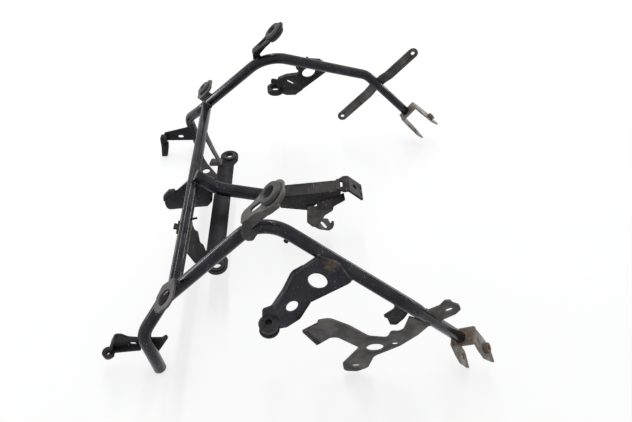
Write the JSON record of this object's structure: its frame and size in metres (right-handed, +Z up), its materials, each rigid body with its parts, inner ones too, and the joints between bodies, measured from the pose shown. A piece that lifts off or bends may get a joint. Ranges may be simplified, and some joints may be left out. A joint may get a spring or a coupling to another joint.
{
  "type": "motorcycle fairing stay",
  "caption": "Bent-tube fairing stay with pressed brackets, rubber grommets and two holed forks, worn black finish with rusty rear ends.",
  "frame": {"origin": "centre of the bounding box at floor level, under the spine", "axes": "+X to the rear, towards the forks; +Y to the far side of the picture; +Z up as it stands in the picture"},
  "size_m": [0.5107, 0.502, 0.2666],
  "materials": {
    "tube_black": "semi-gloss, worn",
    "sheet_black": "dusty satin",
    "rusty_sheet": "worn to bare metal and rust",
    "rusty_nut": "rusty",
    "grey_rubber": "greyed rubber",
    "black_rubber": "black rubber"
  },
  "bodies": {
    "root": {"side_tube_near": "tube_black", "side_tube_far": "tube_black", "cross_tube": "tube_black", "spine_tube": "tube_black", "spine_channel": "sheet_black", "channel_flange": "sheet_black", "spine_tab": "sheet_black", "head_plate": "sheet_black", "eye_plate_near": "sheet_black", "eye_plate_far": "sheet_black", "ring_plate_near": "sheet_black", "ring_plate_far": "sheet_black", "lower_bracket_near": "sheet_black", "lower_bracket_far": "sheet_black", "cross_strap": "sheet_black", "arm_near": "sheet_black", "arm_far": "sheet_black", "front_plate": "sheet_black", "gusset": "sheet_black", "front_tab": "sheet_black", "guide_pin": "sheet_black", "tail_strap": "sheet_black", "rear_tab": "sheet_black", "lower_plate": "sheet_black", "hook_tab": "sheet_black", "stud_near": "sheet_black", "foot_bracket_near": "sheet_black", "foot_bracket_far": "sheet_black", "clip_far": "sheet_black", "foot_eye_near": "sheet_black", "fork_near": "rusty_sheet", "fork_far": "rusty_sheet", "fork_nut_near": "rusty_nut", "fork_nut_far": "rusty_nut", "head_nut": "rusty_nut", "foot_nut_near": "rusty_nut", "grommet_near": "grey_rubber", "grommet_far": "grey_rubber", "small_grommet_far": "grey_rubber", "cup_rubber_near": "black_rubber", "strap_bush_near": "black_rubber", "strap_bush_far": "black_rubber", "edge_rubber": "black_rubber"}
  },
  "joints": []
}
